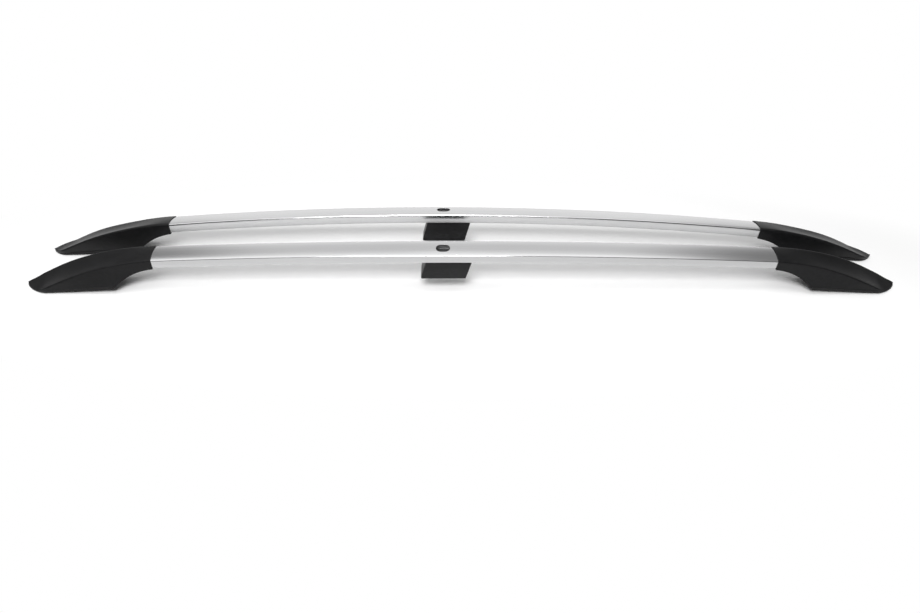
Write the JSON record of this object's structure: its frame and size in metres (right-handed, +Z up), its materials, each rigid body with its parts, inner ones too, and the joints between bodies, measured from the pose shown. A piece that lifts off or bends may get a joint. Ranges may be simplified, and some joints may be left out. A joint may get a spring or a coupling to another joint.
{
  "type": "roof side rail pair",
  "caption": "Mirrored pair of curved aluminium roof side rails with blade-shaped moulded end feet, a leaning centre foot and an oval screw hole in the top",
  "frame": {"origin": "on the floor under the middle of the pair, halfway along the rails and halfway between them", "axes": "+X along the rails towards the rear of the car, +Y from the left rail to the right rail, +Z up from the floor that the tips of the end feet stand on"},
  "size_m": [1.8991, 0.2034, 0.1084],
  "materials": {
    "satin_aluminium": "satin anodised, brushed along the bar",
    "black_plastic": "fine moulded grain with a soft sheen",
    "zinc_steel": "bright zinc plating"
  },
  "bodies": {
    "root": {"left_bar": "satin_aluminium", "left_front_foot": "black_plastic", "left_rear_foot": "black_plastic", "left_centre_foot": "black_plastic", "left_front_bush": "zinc_steel", "left_rear_bush": "zinc_steel", "left_centre_sleeve": "zinc_steel", "left_front_screw_1": "zinc_steel", "left_front_screw_2": "zinc_steel", "left_rear_screw_1": "zinc_steel", "left_rear_screw_2": "zinc_steel", "left_centre_screw_1": "zinc_steel", "left_centre_screw_2": "zinc_steel", "right_bar": "satin_aluminium", "right_front_foot": "black_plastic", "right_rear_foot": "black_plastic", "right_centre_foot": "black_plastic", "right_front_bush": "zinc_steel", "right_rear_bush": "zinc_steel", "right_centre_sleeve": "zinc_steel", "right_front_screw_1": "zinc_steel", "right_front_screw_2": "zinc_steel", "right_rear_screw_1": "zinc_steel", "right_rear_screw_2": "zinc_steel", "right_centre_screw_1": "zinc_steel", "right_centre_screw_2": "zinc_steel"}
  },
  "joints": []
}
